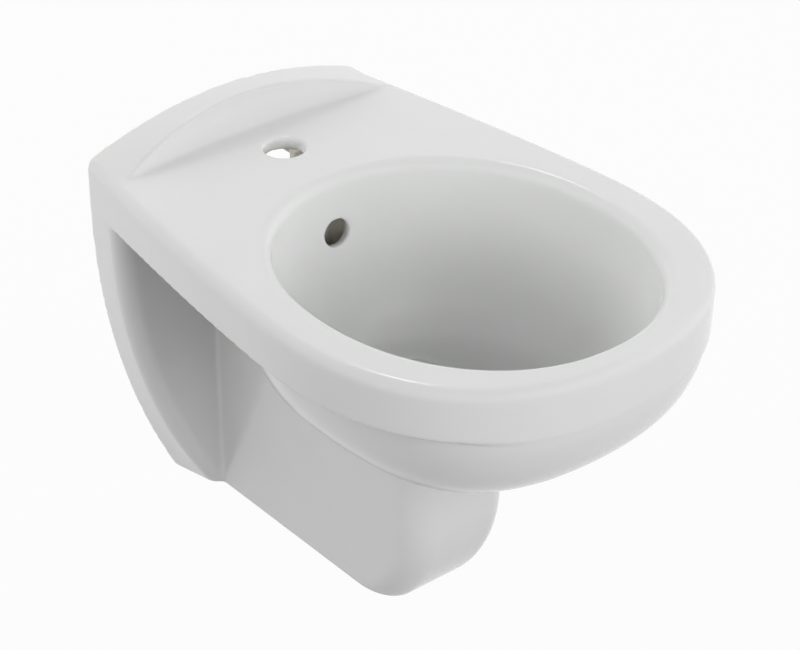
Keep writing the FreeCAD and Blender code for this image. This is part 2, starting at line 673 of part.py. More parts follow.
def waste_washer():
    """Slippery plastic washer that lets the back nut turn."""
    high = UNDER_Z - UNDER_SEAL_THICKNESS
    return on_drain(ring(TAIL + 2 * SLIP_GAP, WASTE_WASHER, high - WASTE_WASHER_THICKNESS, high))


def waste_back_nut():
    """Hexagon nut that draws the waste down on its seat."""
    high = UNDER_Z - UNDER_SEAL_THICKNESS - WASTE_WASHER_THICKNESS
    low = high - BACK_NUT_HEIGHT
    bore = Part.makeCylinder(TAIL / 2 + THREAD_GAP, BACK_NUT_HEIGHT + 2 * CUT, Vector(0, 0, low - CUT))
    return on_drain(hexagon(BACK_NUT, low, high).cut(bore))


def cartridge_heights():
    """Heights of the click cartridge's foot, chamber floor, chamber ceiling and top."""
    foot = SEAT_Z - SPIDER_DROP
    floor = foot + CARTRIDGE_FLOOR
    ceiling = floor + SPRING_LENGTH + STEM_HEAD_THICKNESS + PLUG_TRAVEL + PLUG_GAP
    return foot, floor, ceiling, ceiling + CARTRIDGE_LID


def click_cartridge():
    """Housing of the click mechanism, screwed into the waste's crossbar."""
    foot, floor, ceiling, top = cartridge_heights()
    outer = CARTRIDGE / 2
    inner = outer - CARTRIDGE_WALL
    stub = CARTRIDGE_THREAD / 2
    guide = STEM / 2 + STEM_GAP
    end = foot - SPIDER_HEIGHT
    return on_drain(turned([(0, end), (stub, end), (stub, foot), (outer, foot),
                            (outer, top - EDGE), (outer - EDGE, top), (guide, top), (guide, ceiling),
                            (inner, ceiling), (inner, floor), (0, floor)]))


def plug_heights():
    """Heights of the plug neck's foot, of the seal's foot and of the cap's underside, with the plug down."""
    seal_low = FLOOR_Z - WASTE_CONE + PLUG_SEAL_THICKNESS / 2
    return seal_low - PLUG_EDGE, seal_low, seal_low + PLUG_SEAL_THICKNESS


def cone_radius(height):
    """Radius of the waste's plug cone at a height."""
    narrow = TAIL / 2 - TAIL_WALL
    return narrow + (WASTE_MOUTH / 2 - narrow) * (height - FLOOR_Z + WASTE_CONE) / WASTE_CONE


def plug_stem():
    """Push rod with the head that the spring lifts, held in the cap at its top."""
    head_low = cartridge_heights()[1] + SPRING_LENGTH
    head_high = head_low + STEM_HEAD_THICKNESS
    top = plug_heights()[2] + STEM_IN_CAP
    return on_drain(turned([(0, head_low), (STEM_HEAD / 2, head_low), (STEM_HEAD / 2, head_high),
                            (STEM / 2, head_high), (STEM / 2, top), (0, top)]))


def plug_cap():
    """Domed push cap with a neck for its seal."""
    neck_low, seal_low, under = plug_heights()
    bore = STEM / 2 + THREAD_GAP
    neck = PLUG_NECK / 2
    collar = neck + PLUG_EDGE
    edge = PLUG_CAP / 2
    rim = FLOOR_Z + PLUG_GAP
    high = rim + PLUG_EDGE
    socket = under + STEM_IN_CAP + THREAD_GAP
    cap = turned([(bore, neck_low), (collar, neck_low), (collar, seal_low), (neck, seal_low), (neck, under),
                  (cone_radius(under) - PLUG_EDGE, under), (edge, rim), (edge, high), (0, high),
                  (0, socket), (bore, socket)])
    radius = (edge ** 2 + PLUG_DOME ** 2) / (2 * PLUG_DOME)
    ball = Part.makeSphere(radius, Vector(0, 0, high + PLUG_DOME - radius))
    dome = ball.common(Part.makeCylinder(edge, PLUG_DOME, Vector(0, 0, high)))
    return on_drain(cap.fuse(dome).removeSplitter())


def plug_seal():
    """Rubber ring on the plug's neck, bevelled like the cone that it closes."""
    neck_low, low, high = plug_heights()
    neck = PLUG_NECK / 2 + THREAD_GAP
    return on_drain(turned([(neck, low), (cone_radius(low) - PLUG_GAP, low),
                            (cone_radius(high) - PLUG_GAP, high), (neck, high)]))


def biarc(start, start_way, end, end_way):
    """Two arcs that leave one point along a direction and reach another along its own."""
    gap = end - start
    ways = start_way + end_way
    turn = 2 * (1 - start_way.dot(end_way))
    reach = (math.sqrt(gap.dot(ways) ** 2 + turn * gap.dot(gap)) - gap.dot(ways)) / turn
    first = start + start_way * reach
    second = end - end_way * reach
    joint = (first + second) * 0.5
    edges = []
    for low, corner, high in ((start, first, joint), (joint, second, end)):
        weight = (high - low).Length / (2 * reach)
        edges.append(arc(low, (low + corner * (2 * weight) + high) * (1 / (2 + 2 * weight)), high))
    return edges


def plug_spring():
    """Coil spring under the stem's head, drawn with the plug down."""
    floor = cartridge_heights()[1]
    radius = SPRING_MEAN / 2
    low = floor + SPRING_WIRE / 2 + SLIP_GAP
    climb = (SPRING_LENGTH - SPRING_WIRE - 2 * SLIP_GAP) / (SPRING_TURNS * 2 * math.pi)

    def place(angle):
        return Vector(radius * math.cos(angle), radius * math.sin(angle), low + climb * angle)

    def way(angle):
        return Vector(-radius * math.sin(angle), radius * math.cos(angle), climb).normalize()

    edges = []
    for k in range(4 * SPRING_TURNS):
        start = k * math.pi / 2
        end = start + math.pi / 2
        edges.extend(biarc(place(start), way(start), place(end), way(end)))
    path = Part.Wire(edges)
    section = Part.Wire([Part.makeCircle(SPRING_WIRE / 2, place(0), way(0))])
    per_turn = 72
    turn = [place(2 * math.pi * k / per_turn) for k in range(per_turn)]
    above = [place(2 * math.pi * (1 + k / per_turn)) for k in range(per_turn)]
    least = min((a - b).Length for k, a in enumerate(turn) for b in above[:k + per_turn // 2]
                if (b.z - a.z) > climb * math.pi) - SPRING_WIRE
    print("plug spring, least gap between turns:", round(least, 3), "mm")
    return on_drain(path.makePipeShell([section], True, False))


def trap_inlet_nut():
    """Grooved union nut that hangs the trap on the waste's tail."""
    low = SEAT_Z - UNION_BOTTOM
    lip = low + UNION_NUT_LIP
    high = lip + UNION_NUT_GRIP
    bore = TAIL / 2 + THREAD_GAP
    throat = PIPE / 2 + SLIP_GAP
    outer = UNION_NUT / 2
    nut = turned([(throat, low), (outer - EDGE, low), (outer, low + EDGE), (outer, high - EDGE),
                  (outer - EDGE, high), (bore, high), (bore, lip), (throat, lip)])
    return on_drain(ribbed(nut, UNION_NUT, low - CUT, high + CUT, UNION_NUT_RIBS))


def trap_inlet_seal():
    """Flat ring between the tail's end and the dip tube's flange."""
    high = SEAT_Z - TAIL_BELOW_SEAT
    return on_drain(ring(TAIL - 2 * TAIL_WALL, TAIL - 2 * EDGE, high - TRAP_SEAL_THICKNESS, high))


def trap_dip_tube():
    """Tube from the waste down into the trap's water."""
    high = SEAT_Z - TAIL_BELOW_SEAT - TRAP_SEAL_THICKNESS
    outer = PIPE / 2
    inner = outer - PIPE_WALL
    flange = TAIL / 2 - EDGE
    under = high - DIP_TUBE_FLANGE
    low = CUP_FLOOR_Z + DIP_CLEARANCE
    return on_drain(turned([(inner, low), (outer, low), (outer, under), (flange, under), (flange, high),
                            (inner, high)]))


def compression_nut(face, grip):
    """Nut that presses a tapered ring onto a pipe, from the neck's end face upwards."""
    low = face - grip
    lip = face + NECK_SEAL_HEIGHT
    high = lip + NECK_NUT_LIP
    outer = NECK_NUT / 2
    bore = PIPE / 2 + SLIP_GAP + NECK_WALL + THREAD_GAP
    throat = PIPE / 2 + SLIP_GAP
    nut = turned([(bore, low), (outer - EDGE, low), (outer, low + EDGE), (outer, high - EDGE),
                  (outer - EDGE, high), (throat, high), (throat, lip), (bore, lip)])
    return ribbed(nut, NECK_NUT, low - CUT, high + CUT, NECK_NUT_RIBS)


def compression_ring(face):
    """Tapered rubber ring round a pipe, standing on the neck's end face."""
    inner = PIPE / 2 + THREAD_GAP
    outer = PIPE / 2 + SLIP_GAP + NECK_WALL - THREAD_GAP
    return turned([(inner, face), (outer, face), (outer, face + NECK_SEAL_HEIGHT / 2),
                   (outer - NECK_WALL / 3, face + NECK_SEAL_HEIGHT), (inner, face + NECK_SEAL_HEIGHT)])


def trap_neck_nut():
    """Nut on the bottle's upper neck."""
    return on_drain(compression_nut(SEAT_Z - NECK_DROP, NUT_GRIP))


def trap_neck_seal():
    """Ring between the dip tube and the bottle's upper neck."""
    return on_drain(compression_ring(SEAT_Z - NECK_DROP))


def outlet_face():
    """Drain axis to the end face of the bottle's outlet neck."""
    return BOTTLE / 2 + OUTLET_REACH


def trap_body():
    """Bottle with an upper neck for the dip tube and a side neck for the outlet pipe."""
    outer = BOTTLE / 2
    inner = outer - BOTTLE_WALL
    bore = PIPE / 2 + SLIP_GAP
    neck = bore + NECK_WALL
    neck_top = SEAT_Z - NECK_DROP
    slope = BOTTLE_WALL * 2
    bottle = turned([(bore, neck_top), (neck, neck_top), (neck, SHOULDER_Z), (outer - slope, SHOULDER_Z),
                     (outer, SHOULDER_Z - slope), (outer, BOTTLE_FOOT_Z), (inner, BOTTLE_FOOT_Z),
                     (inner, SHOULDER_Z - slope), (inner - slope / 2, SHOULDER_Z - BOTTLE_WALL),
                     (bore, SHOULDER_Z - BOTTLE_WALL)])
    outlet = on_outlet(Part.makeCylinder(neck, outlet_face() - inner, Vector(0, 0, inner)))
    length = SHOULDER_Z - slope - BOTTLE_FOOT_Z
    core = on_drain(Part.makeCylinder(inner, length + CUT, Vector(0, 0, BOTTLE_FOOT_Z - CUT)))
    way = on_outlet(Part.makeCylinder(bore, outlet_face(), Vector(0, 0, CUT)))
    return on_drain(bottle).fuse(outlet).cut([core, way]).removeSplitter()


def trap_cup():
    """Screw-on cup that closes the bottle below, grooved for the hand."""
    collar = CUP_COLLAR / 2
    bore = BOTTLE / 2 + THREAD_GAP
    inner = BOTTLE / 2 - BOTTLE_WALL - EDGE
    outer = inner + BOTTLE_WALL
    high = BOTTLE_FOOT_Z + CUP_COLLAR_HEIGHT
    low = CUP_LEDGE_Z - BOTTLE_WALL
    foot = CUP_FLOOR_Z - BOTTLE_WALL
    cup = turned([(bore, high), (collar, high), (collar, low), (outer, low), (outer, foot + CUP_ROUND),
                  (outer - CUP_ROUND / 3, foot + CUP_ROUND / 3), (outer - CUP_ROUND, foot), (0, foot),
                  (0, CUP_FLOOR_Z), (inner - CUP_ROUND, CUP_FLOOR_Z),
                  (inner - CUP_ROUND / 3, CUP_FLOOR_Z + CUP_ROUND / 3),
                  (inner, CUP_FLOOR_Z + CUP_ROUND), (inner, CUP_LEDGE_Z), (bore, CUP_LEDGE_Z)])
    return on_drain(ribbed(cup, CUP_COLLAR, low - CUT, high + CUT, CUP_RIBS))


def trap_cup_seal():
    """Flat ring between the bottle's lower edge and the cup's ledge."""
    return on_drain(ring(BOTTLE - 2 * BOTTLE_WALL, BOTTLE - 2 * THREAD_GAP, CUP_LEDGE_Z, BOTTLE_FOOT_Z))


def trap_outlet_nut():
    """Nut on the bottle's outlet neck."""
    return on_outlet(compression_nut(outlet_face(), NUT_GRIP))


def trap_outlet_seal():
    """Ring between the outlet pipe and its neck."""
    return on_outlet(compression_ring(outlet_face()))


def trap_outlet_pipe():
    """Pipe from the trap through the body's open back into the wall, with a ridge that meets the wall."""
    outer = PIPE / 2
    inner = outer - PIPE_WALL
    start = outlet_face() - OUTLET_SOCKET
    wall = DRAIN_SETBACK
    end = wall + OUTLET_IN_WALL
    return on_outlet(turned([(inner, start), (outer, start), (outer, wall - BEAD_LENGTH),
                             (BEAD / 2, wall - BEAD_LENGTH), (BEAD / 2, wall), (outer, wall), (outer, end),
                             (inner, end)]))


PIECES = (ceramic_body, wall_studs, fixing_sleeves, fixing_washers, fixing_nuts, fixing_caps,
          waste_body, waste_top_seal, waste_under_seal, waste_washer, waste_back_nut,
          click_cartridge, plug_spring, plug_stem, plug_cap, plug_seal,
          trap_inlet_nut, trap_inlet_seal, trap_dip_tube, trap_neck_nut, trap_neck_seal, trap_body,
          trap_cup, trap_cup_seal, trap_outlet_nut, trap_outlet_seal, trap_outlet_pipe)


def main():
    """Build every piece and write it to its own file."""
    os.makedirs("parts", exist_ok=True)
    for piece in PIECES:
        name = piece.__name__
        shape = piece()
        volume = round(shape.Volume / 1000, 2)
        print(name, "solids", len(shape.Solids), "valid", shape.isValid(), "volume", volume, "cm3")
        shape.exportStep("parts/" + name + ".step")


main()
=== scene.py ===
"""Dresses the wall-hung bidet: its glazed body, waste, plug, trap and wall fixings, in a plain pale studio."""

import logging
import math
from dataclasses import dataclass, field
from enum import Enum
from typing import Any

import bmesh
import bpy
from mathutils import Matrix, Vector

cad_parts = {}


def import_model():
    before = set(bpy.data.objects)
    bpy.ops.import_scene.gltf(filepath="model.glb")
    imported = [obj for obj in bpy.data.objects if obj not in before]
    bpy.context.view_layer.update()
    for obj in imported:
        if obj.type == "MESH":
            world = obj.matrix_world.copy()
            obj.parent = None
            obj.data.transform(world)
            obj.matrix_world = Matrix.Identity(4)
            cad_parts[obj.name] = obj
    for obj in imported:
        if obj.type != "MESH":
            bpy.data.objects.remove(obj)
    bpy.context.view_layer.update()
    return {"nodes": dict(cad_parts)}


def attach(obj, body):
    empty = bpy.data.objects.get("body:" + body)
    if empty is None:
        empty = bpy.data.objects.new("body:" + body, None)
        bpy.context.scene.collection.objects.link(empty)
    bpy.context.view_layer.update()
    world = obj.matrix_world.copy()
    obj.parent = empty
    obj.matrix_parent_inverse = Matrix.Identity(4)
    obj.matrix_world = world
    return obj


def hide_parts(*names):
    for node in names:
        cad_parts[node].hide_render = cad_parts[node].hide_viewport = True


log = logging.getLogger("bidet")

IMAGE_WIDTH = 800
IMAGE_HEIGHT = 650
SENSOR_MM = 36.0
BARE_CLAY = "bare_clay"
WHITE = "#FFFFFF"
MM_PER_METRE = 1000.0
MERGE_DISTANCE = 1e-6

# The sRGB curve: a straight toe, then a power.
SRGB_TOE_END = 0.04045
SRGB_TOE_SLOPE = 12.92
SRGB_OFFSET = 0.055
SRGB_POWER = 2.4

# Sockets of a Mix node, whose names repeat for each type of data.
MIX_SHARE = 0
NUMBER_A, NUMBER_B, NUMBER_OUT = 2, 3, 0
COLOUR_A, COLOUR_B, COLOUR_OUT = 6, 7, 2


class Body(Enum):
    """Bodies of the part that this script's own pieces ride on."""

    PAN = "pan"


class Axis(Enum):
    """Axis that a turned or threaded piece lies along."""

    TO_WALL = "Y"
    UPRIGHT = "Z"


class Corner(Enum):
    """Kinds of sharp corner, with the side that a vertex's neighbours lie on."""

    HOLLOW = 1
    STANDING_OUT = -1


def linear(code: str) -> tuple[float, float, float, float]:
    """Turn an sRGB hex value into a linear colour.

    Args:
        code: the colour as "#RRGGBB".

    Returns:
        Linear red, green and blue, and an alpha of 1.
    """
    shares = [int(code[k:k + 2], 16) / 255 for k in (1, 3, 5)]
    red, green, blue = [share / SRGB_TOE_SLOPE if share <= SRGB_TOE_END
                        else ((share + SRGB_OFFSET) / (1 + SRGB_OFFSET)) ** SRGB_POWER for share in shares]
    return red, green, blue, 1.0


def metres(size_mm: float) -> float:
    """Turn millimetres into metres.

    Args:
        size_mm: the size in millimetres.

    Returns:
        The size in metres.
    """
    return size_mm / MM_PER_METRE


def per_metre(size_mm: float) -> float:
    """Texture scale at which a pattern repeats about once in this many millimetres.

    Args:
        size_mm: the pattern's size in millimetres.

    Returns:
        The scale, in repeats per metre.
    """
    return MM_PER_METRE / size_mm


def direction(azimuth: float, elevation: float) -> Vector:
    """Point from the part towards a place around it.

    Args:
        azimuth: turn from straight in front of the part towards its right, in radians.
        elevation: rise above the horizon, in radians.

    Returns:
        The unit vector.
    """
    return Vector((math.sin(azimuth) * math.cos(elevation), -math.cos(azimuth) * math.cos(elevation),
                   math.sin(elevation)))


def add_node(tree: bpy.types.NodeTree, kind: str, values: dict[Any, Any] | None = None,
             **settings: Any) -> bpy.types.Node:
    """Add one node, set it up and wire it.

    Args:
        tree: node tree of a material or of the world.
        kind: Blender's name for the node type.
        values: for each input, by name or number, a plain value or the socket that feeds it.
        **settings: the node's own properties.

    Returns:
        The new node.
    """
    node = tree.nodes.new(kind)
    for name, setting in settings.items():
        setattr(node, name, setting)
    for name, value in (values or {}).items():
        if isinstance(value, bpy.types.NodeSocket):
            tree.links.new(value, node.inputs[name])
        else:
            node.inputs[name].default_value = value
    return node


@dataclass(frozen=True)
class Finish:
    """A surface: what it is made of, how it was made, and its plain shader values."""

    name: str
    colour: str
    roughness: float
    metallic: float = 0.0
    ior: float = 1.5

    def material(self) -> bpy.types.Material:
        """Make the material.

        Returns:
            The material, with the finish's own pattern added.
        """
        material = bpy.data.materials.new(self.name)
        material.use_nodes = True
        tree = material.node_tree
        shader = tree.nodes["Principled BSDF"]
        shader.inputs["Base Color"].default_value = linear(self.colour)
        shader.inputs["Metallic"].default_value = self.metallic
        shader.inputs["Roughness"].default_value = self.roughness
        if not self.metallic:
            shader.inputs["IOR"].default_value = self.ior
        self.detail(tree, shader)
        return material

    def detail(self, tree: bpy.types.NodeTree, shader: bpy.types.Node) -> None:
        """Add what the eye sees beyond the plain values.

        Args:
            tree: the material's node tree.
            shader: its main shader.
        """
        raise NotImplementedError


@dataclass(frozen=True)
class GlazedChina(Finish):
    """Vitreous china, slip cast, glazed and fired.

    Gives the eye a cool white with a clear gloss that is very slightly uneven, and matt cream clay where no glaze
    runs: on the face at the wall, under the foot and inside the hollows.
    """

    shade: str = "#D7D8D7"
    clay: str = "#C9BFB0"
    clay_roughness: float = 0.8
    cloud_mm: float = 60.0
    cloud_detail: float = 2.0
    ripple_mm: float = 22.0
    ripple_detail: float = 1.0
    ripple_height_mm: float = 0.03
    grit_mm: float = 1.6
    grit_detail: float = 3.0

    def detail(self, tree: bpy.types.NodeTree, shader: bpy.types.Node) -> None:
        """Add the glaze's soft clouds and ripple, and the bare clay.

        Args:
            tree: the material's node tree.
            shader: its main shader.
        """
        place = add_node(tree, "ShaderNodeTexCoord").outputs["Object"]
        bare = add_node(tree, "ShaderNodeAttribute", attribute_name=BARE_CLAY).outputs["Fac"]
        cloud = add_node(tree, "ShaderNodeTexNoise", {"Vector": place, "Scale": per_metre(self.cloud_mm),
                                                      "Detail": self.cloud_detail})
        grit = add_node(tree, "ShaderNodeTexNoise", {"Vector": place, "Scale": per_metre(self.grit_mm),
                                                     "Detail": self.grit_detail})
        glaze = add_node(tree, "ShaderNodeMix", {MIX_SHARE: cloud.outputs["Fac"], COLOUR_A: linear(self.colour),
                                                 COLOUR_B: linear(self.shade)}, data_type="RGBA")
        clay = add_node(tree, "ShaderNodeMix", {MIX_SHARE: grit.outputs["Fac"], COLOUR_A: linear(self.clay),
                                                COLOUR_B: linear(self.shade)}, data_type="RGBA")
        colour = add_node(tree, "ShaderNodeMix", {MIX_SHARE: bare, COLOUR_A: glaze.outputs[COLOUR_OUT],
                                                  COLOUR_B: clay.outputs[COLOUR_OUT]}, data_type="RGBA")
        tree.links.new(colour.outputs[COLOUR_OUT], shader.inputs["Base Color"])
        gloss = add_node(tree, "ShaderNodeMapRange", {"Value": bare, "To Min": self.roughness,
                                                      "To Max": self.clay_roughness})
        tree.links.new(gloss.outputs["Result"], shader.inputs["Roughness"])
        ripple = add_node(tree, "ShaderNodeTexNoise", {"Vector": place, "Scale": per_metre(self.ripple_mm),
                                                       "Detail": self.ripple_detail})
        height = add_node(tree, "ShaderNodeMix", {MIX_SHARE: bare, NUMBER_A: ripple.outputs["Fac"],
                                                  NUMBER_B: grit.outputs["Fac"]})
        bump = add_node(tree, "ShaderNodeBump", {"Height": height.outputs[NUMBER_OUT], "Strength": 1.0,
                                                 "Distance": metres(self.ripple_height_mm)})
        tree.links.new(bump.outputs["Normal"], shader.inputs["Normal"])


@dataclass(frozen=True)
class Moulded(Finish):
    """Thermoplastic or rubber, injection moulded in a spark-eroded tool.

    Gives the eye a soft sheen over a fine even grain, a little cloudy in tone. The real grain of about 0.2 mm is too
    fine to show, so it is drawn at 1 mm.
    """

    shade: str = "#C8C8C6"
    cloud_mm: float = 14.0
    cloud_detail: float = 3.0
    grain_mm: float = 1.0
    grain_detail: float = 2.0
    grain_height_mm: float = 0.03
    roughness_spread: float = 0.1

    def detail(self, tree: bpy.types.NodeTree, shader: bpy.types.Node) -> None:
        """Add the cloudy tone and the grain.

        Args:
            tree: the material's node tree.
            shader: its main shader.
        """
        place = add_node(tree, "ShaderNodeTexCoord").outputs["Object"]
        cloud = add_node(tree, "ShaderNodeTexNoise", {"Vector": place, "Scale": per_metre(self.cloud_mm),
                                                      "Detail": self.cloud_detail})
        colour = add_node(tree, "ShaderNodeMix", {MIX_SHARE: cloud.outputs["Fac"], COLOUR_A: linear(self.colour),
                                                  COLOUR_B: linear(self.shade)}, data_type="RGBA")
        tree.links.new(colour.outputs[COLOUR_OUT], shader.inputs["Base Color"])
        grain = add_node(tree, "ShaderNodeTexNoise", {"Vector": place, "Scale": per_metre(self.grain_mm),
                                                      "Detail": self.grain_detail})
        sheen = add_node(tree, "ShaderNodeMapRange", {"Value": grain.outputs["Fac"],
                                                      "To Min": self.roughness - self.roughness_spread / 2,
                                                      "To Max": self.roughness + self.roughness_spread / 2})
        tree.links.new(sheen.outputs["Result"], shader.inputs["Roughness"])
        bump = add_node(tree, "ShaderNodeBump", {"Height": grain.outputs["Fac"],
                                                 "Distance": metres(self.grain_height_mm)})
        tree.links.new(bump.outputs["Normal"], shader.inputs["Normal"])


@dataclass(frozen=True)
class Metal(Finish):
    """Metal, plain or plated, with a thread where the real piece is screwed.

    Gives the eye a bright surface whose gloss changes in soft patches, and dark and light bands along a thread.
    """

    metallic: float = 1.0
    shade: str = "#9A9CA0"
    patch_mm: float = 6.0
    patch_detail: float = 4.0
    roughness_spread: float = 0.08
    thread_axis: Axis | None = None
    thread_pitch_mm: float = 2.0
    thread_height_mm: float = 0.9
    thread_flank: float = 0.5  # part of a pitch from the thread's root to its crest
    thread_radius_mm: float = 0.0  # the thread lies outside this
    thread_below_z_mm: float = 1000.0  # above the whole part, so the thread has no upper end
    axis_x_mm: float = 0.0  # on both sides of the plane of symmetry
    axis_y_mm: float = 0.0

    def detail(self, tree: bpy.types.NodeTree, shader: bpy.types.Node) -> None:
        """Add the patches of gloss, and the thread.

        Args:
            tree: the material's node tree.
            shader: its main shader.
        """
        place = add_node(tree, "ShaderNodeTexCoord").outputs["Object"]
        patch = add_node(tree, "ShaderNodeTexNoise", {"Vector": place, "Scale": per_metre(self.patch_mm),
                                                      "Detail": self.patch_detail})
        colour = add_node(tree, "ShaderNodeMix", {MIX_SHARE: patch.outputs["Fac"], COLOUR_A: linear(self.colour),
                                                  COLOUR_B: linear(self.shade)}, data_type="RGBA")
        tree.links.new(colour.outputs[COLOUR_OUT], shader.inputs["Base Color"])
        gloss = add_node(tree, "ShaderNodeMapRange", {"Value": patch.outputs["Fac"],
                                                      "To Min": self.roughness - self.roughness_spread / 2,
                                                      "To Max": self.roughness + self.roughness_spread / 2})
        tree.links.new(gloss.outputs["Result"], shader.inputs["Roughness"])
        if self.thread_axis is not None:
            height = self.thread(tree, place)
            bump = add_node(tree, "ShaderNodeBump", {"Height": height, "Distance": metres(self.thread_height_mm)})
            tree.links.new(bump.outputs["Normal"], shader.inputs["Normal"])

    def thread(self, tree: bpy.types.NodeTree, place: bpy.types.NodeSocket) -> bpy.types.NodeSocket:
        """Height of a screw thread, which climbs one pitch in a turn, on the piece's outside only.

        Args:
            tree: the material's node tree.
            place: position on the piece, in metres.

        Returns:
            The height, from 0 to 1.
        """
        split = add_node(tree, "ShaderNodeSeparateXYZ", {0: place})
        upright = self.thread_axis is Axis.UPRIGHT
        side = add_node(tree, "ShaderNodeMath", {0: split.outputs["X"]}, operation="SIGN")
        shift = add_node(tree, "ShaderNodeMath", {0: side.outputs[0], 1: metres(self.axis_x_mm)},
                         operation="MULTIPLY")
        across = add_node(tree, "ShaderNodeMath", {0: split.outputs["X"], 1: shift.outputs[0]},
                          operation="SUBTRACT")
        other = add_node(tree, "ShaderNodeMath", {0: split.outputs["Y" if upright else "Z"],
                                                  1: metres(self.axis_y_mm) if upright else 0.0},
                         operation="SUBTRACT")
        along = split.outputs["Z" if upright else "Y"]
        angle = add_node(tree, "ShaderNodeMath", {0: other.outputs[0], 1: across.outputs[0]}, operation="ARCTAN2")
        turn = add_node(tree, "ShaderNodeMath", {0: angle.outputs[0], 1: 2 * math.pi}, operation="DIVIDE")
        climb = add_node(tree, "ShaderNodeMath", {0: along, 1: per_metre(self.thread_pitch_mm), 2: turn.outputs[0]},
                         operation="MULTIPLY_ADD")
        ridge = add_node(tree, "ShaderNodeMath", {0: climb.outputs[0], 1: self.thread_flank}, operation="PINGPONG")
        flat = add_node(tree, "ShaderNodeCombineXYZ", {0: across.outputs[0], 1: other.outputs[0]})
        radius = add_node(tree, "ShaderNodeVectorMath", {0: flat.outputs[0]}, operation="LENGTH")
        outside = add_node(tree, "ShaderNodeMath", {0: radius.outputs["Value"], 1: metres(self.thread_radius_mm)},
                           operation="GREATER_THAN")
        below = add_node(tree, "ShaderNodeMath", {0: split.outputs["Z"], 1: metres(self.thread_below_z_mm)},
                         operation="LESS_THAN")
        where = add_node(tree, "ShaderNodeMath", {0: outside.outputs[0], 1: below.outputs[0]}, operation="MULTIPLY")
        whole = add_node(tree, "ShaderNodeMath", {0: ridge.outputs[0], 1: 1 / self.thread_flank},
                         operation="MULTIPLY")
        return add_node(tree, "ShaderNodeMath", {0: whole.outputs[0], 1: where.outputs[0]},
                        operation="MULTIPLY").outputs[0]


def dress(nodes: dict[str, bpy.types.Object], names: tuple[str, ...], finish: Finish) -> None:
    """Give pieces that keep their solid shape one finish.

    Args:
        nodes: the part's pieces by name.
        names: those that take the finish.
        finish: the finish.
    """
    material = finish.material()
    for name in names:
        nodes[name].data.materials.clear()
        nodes[name].data.materials.append(material)
        log.info("%s: %s", name, finish.name)


